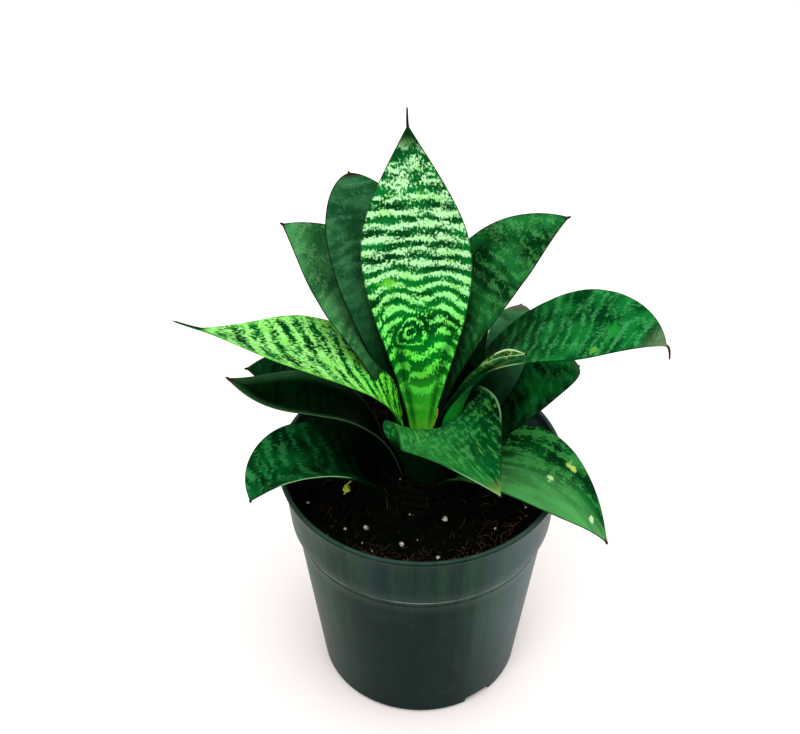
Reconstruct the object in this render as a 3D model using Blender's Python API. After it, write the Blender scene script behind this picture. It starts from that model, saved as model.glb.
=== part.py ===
# Snake plant of the low bird's nest form, growing in a round nursery pot.
# Origin at the centre of the pot's flat base, +Z up, the front of the plant at -Y.
# Lengths are in millimetres and angles in degrees until a mesh is written out in metres.

import math
from collections import namedtuple

import bmesh
import bpy
from mathutils import Vector

MM = 0.001
TURN_STEPS = 64             # facets round the pot, the soil and the rhizome

# Pot
POT_HEIGHT = 106.0
RIM_RADIUS = 55.0
BASE_RADIUS = 39.6
WALL = 1.0
BASE_PLATE = 1.4
BAND_HEIGHT = 27.6          # flared band below the rim
BAND_FOOT_RADIUS = 50.0
LEDGE = 0.9                 # step from the band in to the body
LIP_THICKNESS = 2.0
LIP_DEPTH = 1.8
CORNER_RADIUS = 2.5         # rounded edge round the base
DRAIN_COUNT = 3
DRAIN_WIDTH = 12.5
DRAIN_HEIGHT = 4.0
DRAIN_DEPTH = 5.5           # from the outside of the wall towards the middle
FIRST_DRAIN = -53.5         # azimuth of the first drain notch

# Soil
SOIL_GAP = 0.55             # between the soil and the pot, and round the rhizome
SOIL_BELOW_RIM = 10.5
SOIL_CROWN = 1.6            # how much higher the soil is at the middle

# Rhizome: a short stub in the soil with a low cone on top, where the leaves start
RHIZOME_DEPTH = 26.0
RHIZOME_RADIUS = 21.5
RHIZOME_TIP_RADIUS = 8.0
RHIZOME_COLLAR = 2.5        # its straight side below the soil's surface

# Rings on the rhizome's cone where leaves start, from the youngest leaf outwards
RING_RADIUS = 3.5
RING_STEP = 2.5
RING_HEIGHT = 107.0
RING_DROP = 1.1
LEAF_CLEARANCE = 2.3        # from a leaf's start down to the cone

# Leaf blade
LEAF_ROWS = 19
LEAF_COLUMNS = 7
LEAF_THICKNESS = 2.2        # at the base, along the midrib
TIP_THICKNESS = 1.2
MARGIN_SHARE = 0.45         # margin thickness as a share of the midrib's
THREAD_ROWS = 5
THREAD_WIDTH = 1.0
THREAD_END = 0.6
THREAD_BEND = 0.25          # where along the thread it turns

# One row for each leaf. azimuth, reach and height place the tip, seen from the pot's axis.
# ring and wrap set where the blade starts and how far round it clasps the rhizome, each side.
# rise and top are the slopes of the midrib at its start and at its tip, and rise_pull and
# top_pull say how far each slope carries. swing turns the blade sideways from its azimuth at
# the start and the tip, and roll tilts it about its midrib there. widest is the place of the
# full width along the blade, and curl how far the blade still folds up at the tip.
# thread is the length of the dry thread on the tip, and its slope at the end.
Leaf = namedtuple("Leaf", "ring wrap azimuth reach height rise rise_pull top top_pull "
                          "swing roll width widest curl thread")
LEAVES = {
    "tall_leaf": Leaf(0, 70, 99, 35.5, 235, 78, 67, 64, 48,
        (-11, 2), (-15, 28), 42, 0.60, 21, (7, 88)),
    "back_left_leaf": Leaf(1, 42, 122, 50.5, 209, 81, 55, 34, 25,
        (5, -15), (-10, -4), 38, 0.62, 21, (0.8, 34)),
    "back_right_leaf": Leaf(1, 38, 32, 63, 196, 79, 43, 7, 36,
        (-10, -13), (14, -13), 42, 0.55, 23, (0.8, 7)),
    "arching_right_leaf": Leaf(2, 50, -17, 87.5, 185, 87, 66, 4, 36,
        (-7, -32), (-2, -7), 47, 0.60, 4, (7, -88)),
    "far_left_leaf": Leaf(2, 58, 148, 60.5, 194, 81, 36, 26, 34,
        (13, 15), (-16, 19), 42, 0.60, 18, (0.8, 26)),
    "bright_left_leaf": Leaf(3, 55, 179, 81.5, 170, 87, 38, 17, 57,
        (20, 10), (-9, 10), 47, 0.38, 44, (11, 35)),
    "front_leaf": Leaf(3, 64, -59, 53.5, 132, 73, 48, 0, 56,
        (-23, 0), (-18, 10), 47, 0.64, 35, (0.8, 0)),
    "short_right_leaf": Leaf(3, 32, 40, 49, 156, 43, 49, 14, 8,
        (-17, 14), (-14, 32), 26, 0.62, 6, (0.8, 14)),
    "dark_left_leaf": Leaf(4, 42, 179, 72, 146, 77, 47, 31, 27,
        (6, -15), (-16, -8), 31, 0.57, 27, (0.8, 31)),
    "low_right_leaf": Leaf(4, 42, 13, 60.5, 141, 42, 28, -20, 17,
        (3, 1), (6, 3), 40, 0.61, 19, (0.8, -20)),
    "front_right_leaf": Leaf(5, 45, -20, 75, 86, 58, 23, -66, 35,
        (-7, -5), (5, 8), 45, 0.42, 13, (0.8, -66)),
    "under_left_leaf": Leaf(6, 32, 165, 69, 136, 50, 33, -11, 21,
        (4, 4), (-10, 9), 34, 0.51, 20, (0.8, -11)),
    "front_left_leaf": Leaf(7, 34, 199, 68, 105, 58, 24, -80, 19,
        (-7, 22), (-8, -11), 43, 0.34, 37, (0.8, -80)),
}

MATERIALS = {
    "pot_plastic": ((0.020, 0.050, 0.045, 1.0), 0.38),
    "potting_mix": ((0.020, 0.014, 0.010, 1.0), 0.95),
    "rhizome_skin": ((0.28, 0.22, 0.08, 1.0), 0.70),
    "dark_leaf": ((0.010, 0.090, 0.030, 1.0), 0.42),
    "bright_leaf": ((0.090, 0.360, 0.110, 1.0), 0.42),
}
BRIGHT_LEAVES = ("tall_leaf", "bright_left_leaf")


def clear_scene():
    for item in list(bpy.data.objects):
        bpy.data.objects.remove(item, do_unlink=True)


def make_material(name):
    colour, roughness = MATERIALS[name]
    material = bpy.data.materials.new(name)
    material.use_nodes = True
    shader = material.node_tree.nodes["Principled BSDF"]
    shader.inputs["Base Color"].default_value = colour
    shader.inputs["Roughness"].default_value = roughness
    shader.inputs["Metallic"].default_value = 0.0
    return material


def add_object(name, mesh, material):
    item = bpy.data.objects.new(name, mesh)
    item.data.materials.append(material)
    bpy.context.scene.collection.objects.link(item)
    return item


def mesh_from(name, vertices, faces, smooth_angle):
    mesh = bpy.data.meshes.new(name)
    mesh.from_pydata([Vector(vertex) * MM for vertex in vertices], [], faces)
    mesh.shade_smooth()
    mesh.set_sharp_from_angle(angle=math.radians(smooth_angle))
    return mesh


def turned(name, profile, material):
    """One closed body turned round Z. The profile runs from the axis at the bottom, up the
    outside, and back to the axis at the top, as (radius, height) pairs."""
    vertices = []
    for radius, height in profile[1:-1]:
        for step in range(TURN_STEPS):
            angle = math.tau * step / TURN_STEPS
            vertices.append((radius * math.cos(angle), radius * math.sin(angle), height))
    bottom = len(vertices)
    vertices.append((0.0, 0.0, profile[0][1]))
    top = len(vertices)
    vertices.append((0.0, 0.0, profile[-1][1]))
    faces = []
    rings = len(profile) - 2
    for step in range(TURN_STEPS):
        after = (step + 1) % TURN_STEPS
        for ring in range(rings - 1):
            low = ring * TURN_STEPS
            high = low + TURN_STEPS
            faces.append((low + step, low + after, high + after, high + step))
        last = (rings - 1) * TURN_STEPS
        faces.append((bottom, after, step))
        faces.append((top, last + step, last + after))
    return add_object(name, mesh_from(name, vertices, faces, 35), material)


def arc(centre, radius, start, end, steps):
    """Points (radius, height) of a profile along an arc, angles in degrees."""
    points = []
    for step in range(steps + 1):
        angle = math.radians(start + (end - start) * step / steps)
        points.append((centre[0] + radius * math.cos(angle), centre[1] + radius * math.sin(angle)))
    return points


# Pot

band_foot = POT_HEIGHT - BAND_HEIGHT
body_top_radius = BAND_FOOT_RADIUS - LEDGE
lip_radius = RIM_RADIUS - LIP_THICKNESS / 2
lip_foot = POT_HEIGHT - LIP_DEPTH
inner_floor = BASE_PLATE
inner_base_radius = BASE_RADIUS - WALL
inner_step = band_foot - WALL


def pot_profile():
    corner = (BASE_RADIUS - CORNER_RADIUS, CORNER_RADIUS)
    flare = (RIM_RADIUS - BAND_FOOT_RADIUS) / BAND_HEIGHT
    outside = arc(corner, CORNER_RADIUS, -90, 0, 4)
    outside += [
        (body_top_radius, band_foot - 1.0),
        (body_top_radius + 0.3, band_foot - 0.4),
        (BAND_FOOT_RADIUS - 0.2, band_foot),
        (BAND_FOOT_RADIUS + 0.1, band_foot + 0.5),
        (RIM_RADIUS - 0.5 - flare * LIP_DEPTH, lip_foot - 0.5),
        (RIM_RADIUS - 0.2, lip_foot),
    ]
    lip = arc((lip_radius, POT_HEIGHT - LIP_THICKNESS / 2), LIP_THICKNESS / 2, 0, 180, 6)
    inside = [
        (RIM_RADIUS - LIP_THICKNESS - flare * LIP_DEPTH, lip_foot - 1.0),
        (BAND_FOOT_RADIUS - WALL, band_foot + 0.2),
        (body_top_radius - WALL, inner_step),
        (inner_base_radius, CORNER_RADIUS + 1.0),
        (inner_base_radius - 1.2, inner_floor),
    ]
    return [(0.0, 0.0)] + outside + lip + inside + [(0.0, inner_floor)]


def drain_cutter(number):
    """A block with a rounded top that cuts one notch through the wall and base at the foot."""
    outer = BASE_RADIUS + 3.0
    inner = BASE_RADIUS - DRAIN_DEPTH
    side = DRAIN_WIDTH / 2
    shoulder = DRAIN_HEIGHT * 0.65
    outline = [(-side, -1.0), (side, -1.0), (side, shoulder), (side - 1.5, DRAIN_HEIGHT),
               (1.5 - side, DRAIN_HEIGHT), (-side, shoulder)]
    azimuth = math.radians(FIRST_DRAIN + 360.0 * number / DRAIN_COUNT)
    along = Vector((math.cos(azimuth), math.sin(azimuth), 0.0))
    across = Vector((-math.sin(azimuth), math.cos(azimuth), 0.0))
    up = Vector((0.0, 0.0, 1.0))
    vertices = []
    for depth in (inner, outer):
        for offset, height in outline:
            vertices.append(along * depth + across * offset + up * height)
    count = len(outline)
    faces = [tuple(reversed(range(count))), tuple(range(count, 2 * count))]
    for corner in range(count):
        after = (corner + 1) % count
        faces.append((corner, after, count + after, count + corner))
    name = f"drain_cutter_{number + 1}"
    cutter = bpy.data.objects.new(name, mesh_from(name, vertices, faces, 30))
    bpy.context.scene.collection.objects.link(cutter)
    cutter.hide_render = True
    cutter.display_type = "WIRE"
    return cutter


def make_pot():
    pot = turned("pot", pot_profile(), make_material("pot_plastic"))
    for number in range(DRAIN_COUNT):
        cut = pot.modifiers.new(f"drain_{number + 1}", "BOOLEAN")
        cut.operation = "DIFFERENCE"
        cut.solver = "EXACT"
        cut.object = drain_cutter(number)
    return pot


# Soil and rhizome

def cone_height(radius):
    """Height of the rhizome's cone at a radius, just below where the leaves start."""
    start = RING_HEIGHT - RING_DROP * (radius - RING_RADIUS) / RING_STEP
    return start - LEAF_CLEARANCE


def soil_height(radius):
    """The soil's top surface, lowest at the wall and a little domed to the middle."""
    share = 1.0 - (radius / RIM_RADIUS) ** 2
    return POT_HEIGHT - SOIL_BELOW_RIM + SOIL_CROWN * share


rhizome_foot = soil_height(0) - RHIZOME_DEPTH
collar_foot = soil_height(0) - RHIZOME_COLLAR


def soil_profile():
    flare = (RIM_RADIUS - BAND_FOOT_RADIUS) / BAND_HEIGHT
    edge = POT_HEIGHT - SOIL_BELOW_RIM
    edge_radius = BAND_FOOT_RADIUS - WALL + flare * (edge - band_foot) - 2 * SOIL_GAP
    neck = RHIZOME_RADIUS + SOIL_GAP
    socket = RHIZOME_TIP_RADIUS + SOIL_GAP
    points = [
        (0.0, inner_floor + SOIL_GAP),
        (inner_base_radius - 1.6 - SOIL_GAP, inner_floor + SOIL_GAP),
        (inner_base_radius - SOIL_GAP, CORNER_RADIUS + 1.4),
        (body_top_radius - WALL - SOIL_GAP, inner_step),
        (BAND_FOOT_RADIUS - WALL - SOIL_GAP, band_foot + 0.8),
        (edge_radius, edge - 0.8),
    ]
    for radius in (edge_radius - 1.0, 44.0, 36.0, 28.0, neck):
        points.append((radius, soil_height(radius)))
    points.append((neck, collar_foot - SOIL_GAP))
    points.append((socket, rhizome_foot - SOIL_GAP))
    points.append((0.0, rhizome_foot - SOIL_GAP))
    return points


def rhizome_profile():
    points = [(0.0, rhizome_foot), (RHIZOME_TIP_RADIUS, rhizome_foot)]
    points.append((RHIZOME_RADIUS, collar_foot))
    points.append((RHIZOME_RADIUS, cone_height(RHIZOME_RADIUS) - 0.4))
    for radius in (RHIZOME_RADIUS - 0.8, 13.0, 7.0, 3.0):
        points.append((radius, cone_height(radius)))
    points.append((0.0, cone_height(2.0)))
    return points


# Leaves

Station = namedtuple("Station", "point forward azimuth roll half_width fold thickness")


def direction(azimuth, slope):
    flat = math.cos(math.radians(slope))
    return Vector((
        flat * math.cos(math.radians(azimuth)),
        flat * math.sin(math.radians(azimuth)),
        math.sin(math.radians(slope)),
    ))


def mix(start, end, share):
    return start + (end - start) * share


def base_half_width(leaf):
    return (RING_RADIUS + RING_STEP * leaf.ring) * math.radians(leaf.wrap)


def half_width(leaf, v):
    """Swells from the clasping base to the widest place, then tapers to the acute tip."""
    full = leaf.width / 2
    base = base_half_width(leaf) / full
    if v < leaf.widest:
        swell = math.sin(math.pi / 2 * v / leaf.widest) ** 1.3
        return full * (base + (1 - base) * swell)
    taper = math.cos(math.pi / 2 * (v - leaf.widest) / (1 - leaf.widest))
    return max(full * max(taper, 0.0) ** 0.95, THREAD_WIDTH / 2)


def blade_curve(leaf):
    """Control points of the cubic Bezier curve that the midrib follows."""
    ring = RING_RADIUS + RING_STEP * leaf.ring
    start = direction(leaf.azimuth, 0) * ring
    start.z = RING_HEIGHT - RING_DROP * leaf.ring
    tip = direction(leaf.azimuth, 0) * leaf.reach
    tip.z = leaf.height
    leave = direction(leaf.azimuth + leaf.swing[0], leaf.rise)
    arrive = direction(leaf.azimuth + leaf.swing[1], leaf.top)
    return start, start + leave * leaf.rise_pull, tip - arrive * leaf.top_pull, tip


def blade_stations(leaf):
    a, b, c, d = blade_curve(leaf)
    stations = []
    for row in range(LEAF_ROWS):
        v = row / (LEAF_ROWS - 1)
        u = 1 - v
        point = a * u ** 3 + b * 3 * u * u * v + c * 3 * u * v * v + d * v ** 3
        slope = (b - a) * u * u + (c - b) * 2 * u * v + (d - c) * v * v
        stations.append(Station(
            point, slope.normalized(),
            leaf.azimuth + mix(leaf.swing[0], leaf.swing[1], v),
            mix(leaf.roll[0], leaf.roll[1], v),
            half_width(leaf, v),
            mix(leaf.curl, leaf.wrap, u * u),
            mix(LEAF_THICKNESS, TIP_THICKNESS, v),
        ))
    return stations


def thread_stations(leaf, last):
    """The dry thread bends on from the blade's tip to its own end slope."""
    length, end_slope = leaf.thread
    arrive = direction(last.azimuth, end_slope)
    bend = last.point + last.forward * length * THREAD_BEND
    end = bend + arrive * length * (1 - THREAD_BEND)
    stations = []
    for row in range(1, THREAD_ROWS + 1):
        t = row / THREAD_ROWS
        u = 1 - t
        point = last.point * u * u + bend * 2 * u * t + end * t * t
        slope = (bend - last.point) * u + (end - bend) * t
        stations.append(last._replace(
            point=point, forward=slope.normalized(),
            half_width=mix(THREAD_WIDTH, THREAD_END, t) / 2,
            thickness=mix(TIP_THICKNESS, THREAD_END, t),
        ))
    return stations


def cross_section(station):
    """Upper and lower rows of points, a channel folded along the midrib."""
    side = direction(station.azimuth - 90, 0)
    side = (side - station.forward * side.dot(station.forward)).normalized()
    normal = side.cross(station.forward)
    roll = math.radians(station.roll)
    across = side * math.cos(roll) + normal * math.sin(roll)
    up = normal * math.cos(roll) - side * math.sin(roll)
    fold = math.radians(station.fold)
    upper = []
    lower = []
    for column in range(LEAF_COLUMNS):
        s = mix(-1.0, 1.0, column / (LEAF_COLUMNS - 1))
        sine = math.sin(fold * s)
        cosine = math.cos(fold * s)
        middle = station.point + across * (station.half_width * sine / fold)
        middle += up * (station.half_width * (1 - cosine) / fold)
        outward = up * cosine - across * sine
        offset = station.thickness / 2 * (1 - (1 - MARGIN_SHARE) * s * s)
        upper.append(middle + outward * offset)
        lower.append(middle - outward * offset)
    return upper, lower


def leaf_faces(rows):
    """Quads round the skin. Each row holds its upper points and then its lower points."""
    size = 2 * LEAF_COLUMNS
    faces = []
    for row in range(rows - 1):
        here = row * size
        beyond = here + size
        for column in range(LEAF_COLUMNS - 1):
            upper = here + column
            lower = upper + LEAF_COLUMNS
            faces.append((upper, upper + 1, upper + 1 + size, upper + size))
            faces.append((lower + 1, lower, lower + size, lower + 1 + size))
        left = here
        right = here + LEAF_COLUMNS - 1
        faces.append((left + LEAF_COLUMNS, left, beyond, beyond + LEAF_COLUMNS))
        faces.append((right, right + LEAF_COLUMNS, right + LEAF_COLUMNS + size, right + size))
    last = (rows - 1) * size
    for column in range(LEAF_COLUMNS - 1):
        lower = column + LEAF_COLUMNS
        faces.append((column, lower, lower + 1, column + 1))
        faces.append((last + column + 1, last + lower + 1, last + lower, last + column))
    return faces


def make_leaf(name, leaf, material):
    stations = blade_stations(leaf)
    stations += thread_stations(leaf, stations[-1])
    vertices = []
    for station in stations:
        upper, lower = cross_section(station)
        vertices += upper + lower
    return add_object(name, mesh_from(name, vertices, leaf_faces(len(stations)), 50), material)


def main():
    clear_scene()
    make_pot()
    turned("soil", soil_profile(), make_material("potting_mix"))
    turned("rhizome", rhizome_profile(), make_material("rhizome_skin"))
    dark = make_material("dark_leaf")
    bright = make_material("bright_leaf")
    for name, leaf in LEAVES.items():
        make_leaf(name, leaf, bright if name in BRIGHT_LEAVES else dark)


main()
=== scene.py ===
import math
import random

import bmesh
import bpy
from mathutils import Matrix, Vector, noise


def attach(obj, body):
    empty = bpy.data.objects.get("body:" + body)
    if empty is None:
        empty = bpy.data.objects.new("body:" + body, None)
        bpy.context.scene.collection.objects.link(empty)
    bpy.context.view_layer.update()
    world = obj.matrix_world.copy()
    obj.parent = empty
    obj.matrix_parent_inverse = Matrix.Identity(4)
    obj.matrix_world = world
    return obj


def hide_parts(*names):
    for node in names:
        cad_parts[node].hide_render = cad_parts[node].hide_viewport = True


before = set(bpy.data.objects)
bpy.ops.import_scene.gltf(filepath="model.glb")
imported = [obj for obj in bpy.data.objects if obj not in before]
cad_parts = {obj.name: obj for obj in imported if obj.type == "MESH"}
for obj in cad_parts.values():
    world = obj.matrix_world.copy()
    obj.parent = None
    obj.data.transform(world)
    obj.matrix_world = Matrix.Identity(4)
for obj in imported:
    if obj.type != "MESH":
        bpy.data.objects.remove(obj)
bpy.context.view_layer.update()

mm = 0.001
body = "root"


# one socket, written into expressions

class Wire:
    # wraps a socket of a shader or geometry tree; maths on it adds the nodes

    def __init__(self, tree, socket=None):
        self.tree = tree
        self.socket = socket

    def node(self, kind, settings=None, inputs=None, output=0):
        made = self.tree.nodes.new(kind)
        for name, value in (settings or {}).items():
            setattr(made, name, value)
        for name, value in (inputs or {}).items():
            if isinstance(value, Wire):
                self.tree.links.new(value.socket, made.inputs[name])
            else:
                made.inputs[name].default_value = value
        return Wire(self.tree, made.outputs[output])

    def out(self, name):
        return Wire(self.tree, self.socket.node.outputs[name])

    def maths(self, operation, *values):
        vector = any(isVector(value) for value in values)
        if vector:
            values = [threeOf(value) for value in values]
        kind = "ShaderNodeVectorMath" if vector else "ShaderNodeMath"
        return self.node(kind, {"operation": operation}, dict(enumerate(values)))

    def dot(self, other):
        return self.node("ShaderNodeVectorMath", {"operation": "DOT_PRODUCT"},
                         {0: self, 1: other}, "Value")

    def length(self):
        return self.node("ShaderNodeVectorMath", {"operation": "LENGTH"}, {0: self}, "Value")

    def parts(self):
        split = self.node("ShaderNodeSeparateXYZ", {}, {0: self})
        return split, split.out(1), split.out(2)

    def smooth(self, low, high):
        # 0 below low and 1 above high, eased between them
        return self.node("ShaderNodeMapRange", {"interpolation_type": "SMOOTHSTEP"},
                         {"Value": self, "From Min": low, "From Max": high})

    def toward(self, start, end):
        # the number between start and end that this share gives
        return start + (end - start) * self

    def tint(self, start, end):
        # the colour between two others that this share gives
        return self.node("ShaderNodeMix", {"data_type": "RGBA"},
                         {0: self, 6: start, 7: end}, 2)

    def noise(self, place, scale=1.0, detail=2.0, roughness=0.5):
        return self.node("ShaderNodeTexNoise", {},
                         {"Vector": place, "Scale": scale, "Detail": detail,
                          "Roughness": roughness})

    def at(self, x, y, z):
        return self.node("ShaderNodeCombineXYZ", {}, {0: x, 1: y, 2: z})

    def attribute(self, name, output="Vector"):
        return self.node("ShaderNodeAttribute", {"attribute_name": name}, {}, output)

    def spot(self):
        # the place on the object, in metres
        return self.node("ShaderNodeTexCoord", {}, {}, "Object")


# the operators, each with its reflected form
for sign, operation in (("add", "ADD"), ("sub", "SUBTRACT"), ("mul", "MULTIPLY"),
                        ("truediv", "DIVIDE"), ("pow", "POWER")):
    def forward(one, two, operation=operation):
        return one.maths(operation, one, two)

    def reflected(two, one, operation=operation):
        return two.maths(operation, one, two)

    setattr(Wire, f"__{sign}__", forward)
    setattr(Wire, f"__r{sign}__", reflected)

for word, operation in (("__abs__", "ABSOLUTE"), ("sign", "SIGN"), ("sin", "SINE"),
                        ("cos", "COSINE"), ("least", "MINIMUM"), ("most", "MAXIMUM"),
                        ("above", "GREATER_THAN"), ("unit", "NORMALIZE"),
                        ("cross", "CROSS_PRODUCT")):
    def worked(one, *others, operation=operation):
        return one.maths(operation, one, *others)

    setattr(Wire, word, worked)


def isVector(value):
    return isinstance(value, tuple) or (isinstance(value, Wire) and value.socket.type == "VECTOR")


def threeOf(value):
    return (value,) * 3 if isinstance(value, (int, float)) else value


def paint(red, green, blue):
    # a colour mixed on a 0 to 255 scale, as the shader's linear values
    linear = []
    for part in (red, green, blue):
        share = part / 255
        linear.append(share / 12.92 if share <= 0.04045 else ((share + 0.055) / 1.055) ** 2.4)
    return (*linear, 1.0)


def newMaterial(name, **settings):
    material = bpy.data.materials.new(name)
    material.use_nodes = True
    shader = material.node_tree.nodes["Principled BSDF"]
    for socket, value in settings.items():
        shader.inputs[socket.replace("_", " ")].default_value = value
    return material, Wire(material.node_tree), shader


def plug(shader, **links):
    for socket, wire in links.items():
        wire.tree.links.new(wire.socket, shader.inputs[socket.replace("_", " ")])


def bump(wire, height, depth, strength):
    # depth in millimetres
    return wire.node("ShaderNodeBump", {},
                     {"Height": height, "Distance": depth * mm, "Strength": strength})


# geometry trees

def newTree(name, numbers):
    tree = bpy.data.node_groups.new(name, "GeometryNodeTree")
    tree.interface.new_socket("Geometry", in_out="INPUT", socket_type="NodeSocketGeometry")
    tree.interface.new_socket("Finish", in_out="INPUT", socket_type="NodeSocketMaterial")
    for label in numbers:
        tree.interface.new_socket(label, in_out="INPUT", socket_type="NodeSocketFloat")
    tree.interface.new_socket("Geometry", in_out="OUTPUT", socket_type="NodeSocketGeometry")
    given = tree.nodes.new("NodeGroupInput")
    return Wire(tree), {socket.name: Wire(tree, socket) for socket in given.outputs if socket.name}


def endTree(wire, geometry, finish):
    solid = wire.node("GeometryNodeRealizeInstances", {}, {"Geometry": geometry})
    done = wire.node("GeometryNodeSetMaterial", {}, {"Geometry": solid, "Material": finish})
    end = wire.tree.nodes.new("NodeGroupOutput")
    wire.tree.links.new(done.socket, end.inputs[0])


def newObject(name, mesh):
    piece = bpy.data.objects.new(name, mesh)
    bpy.context.scene.collection.objects.link(piece)
    return piece


def grow(name, tree, values, mesh=None):
    # runs a geometry tree with these inputs and keeps its result as a plain mesh
    piece = newObject(name, mesh or bpy.data.meshes.new(name))
    modifier = piece.modifiers.new("shape", "NODES")
    modifier.node_group = tree
    for item in tree.interface.items_tree:
        if item.in_out == "INPUT" and item.name in values:
            modifier[item.identifier] = values[item.name]
    piece.update_tag()
    graph = bpy.context.evaluated_depsgraph_get()
    result = bpy.data.meshes.new_from_object(
        piece.evaluated_get(graph), preserve_all_data_layers=True, depsgraph=graph)
    piece.modifiers.clear()
    piece.data = result
    result.name = name
    return piece


def finishMesh(shape, mesh):
    # points every face outwards and writes the shape into the mesh
    bmesh.ops.recalc_face_normals(shape, faces=shape.faces)
    shape.to_mesh(mesh)
    shape.free()
    return mesh


def bridge(shape, rings):
    # walls from each ring of points to the next
    for low, high in zip(rings, rings[1:]):
        for one in range(len(low)):
            two = (one + 1) % len(low)
            shape.faces.new((low[one], low[two], high[two], high[one]))


def place(piece, slot, *nodes):
    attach(piece, body)
    if nodes:
        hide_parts(*nodes)


# leaves

leafNames = ("ring", "wrap", "azimuth", "reach", "height", "rise", "risePull", "top", "topPull",
             "swingStart", "swingEnd", "rollStart", "rollEnd", "width", "widest", "curl",
             "threadLength", "threadSlope")

# millimetres and degrees, in the order of leafNames
leaves = {
    "tall_leaf": (0, 70, 99, 35.5, 235, 78, 67, 64, 48, -11, 2, -15, 28, 42, 0.60, 21, 7, 88),
    "back_left_leaf": (1, 42, 122, 50.5, 209, 81, 55, 34, 25, 5, -15, -10, -4, 38, 0.62, 21,
                       0.8, 34),
    "back_right_leaf": (1, 85, 32, 63, 196, 79, 43, 7, 36, -10, -13, 14, -13, 42, 0.55, 23,
                        0.8, 7),
    "arching_right_leaf": (2, 50, -17, 87.5, 185, 87, 66, 4, 36, -7, -32, -2, -7, 47, 0.60, 4,
                           7, -88),
    "far_left_leaf": (0.8, 34, 148, 60.5, 194, 84, 40, 26, 34, 0, 15, -16, 19, 42, 0.60, 18,
                      0.8, 26),
    "bright_left_leaf": (1.5, 24, 179, 81.5, 170, 92, 55, 0, 48, 30, -19, 29, -25, 36,
                         0.69, 22, 10, 6),
    "front_leaf": (3, 64, -59, 53.5, 132, 73, 48, 0, 56, -23, 0, -18, 10, 47, 0.64, 35, 0.8, 0),
    "short_right_leaf": (3, 56, 40, 49, 156, 43, 49, 14, 8, -17, 14, -14, 32, 26, 0.62, 6,
                         0.8, 14),
    "dark_left_leaf": (4, 42, 179, 72, 146, 77, 47, 31, 27, 6, -15, -16, -8, 31, 0.57, 27,
                       0.8, 31),
    "low_right_leaf": (4, 42, 13, 60.5, 141, 42, 28, -20, 17, 3, 1, 6, 3, 40, 0.61, 19,
                       0.8, -20),
    "front_right_leaf": (5, 45, -20, 75, 86, 58, 23, -66, 35, -7, -5, 5, 8, 45, 0.42, 13,
                         0.8, -66),
    "under_left_leaf": (6, 32, 165, 69, 136, 50, 33, -11, 21, 4, 4, -10, 9, 34, 0.51, 20,
                        0.8, -11),
    "front_left_leaf": (7, 34, 199, 68, 105, 58, 24, -80, 19, -7, 22, -8, -11, 43, 0.34, 37,
                        0.8, -80),
}
# taper of the leaves with blunter tips
bluntTips = {"low_right_leaf": 0.6, "short_right_leaf": 0.6, "back_left_leaf": 0.62}

# two small blades that stand inside the arching leaf, in the same order
smallBlades = {
    "innerSheath": (1.4, 60, 35, 30, 157, 76, 22, 58, 16, 0, 0, 0, 0, 17, 0.60, 30, 0.8, 58),
    "foldedFlap": (2.6, 40, -35, 43.0, 180.3, 83, 58, 36, 18, 0, 0, 0, 0, 8.5, 0.76, 75, 0.8, 20),
}

# the stub of stem that the leaves grow from
stem = {
    "top": 107.0,
    "innerRing": 3.5,  # radius of ring 0
    "ringStep": 2.5,  # how much wider each ring is than the last
    "ringDrop": 1.1,  # and how much lower
}

leafMake = {
    "columns": 56,  # points round the section
    "rows": 190,  # points from base to the thread's end
    "taper": 0.95,  # less is blunter
    "thickness": 2.2,  # millimetres at the base
    "tipThickness": 1.2,
    "marginShare": 0.45,  # the margin's thickness against the middle's
    "threadWidth": 1.0,
    "threadEnd": 0.6,
    "threadRows": 0.05,  # share of the rows that the dry thread takes
    "wave": 0.45,  # how far the margins ripple
    "flute": 0.16,  # depth of the long channels near the base
}


def heading(wire, azimuth, slope):
    azimuth = azimuth * math.radians(1)
    slope = slope * math.radians(1)
    return wire.at(slope.cos() * azimuth.cos(), slope.cos() * azimuth.sin(), slope.sin())


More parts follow.
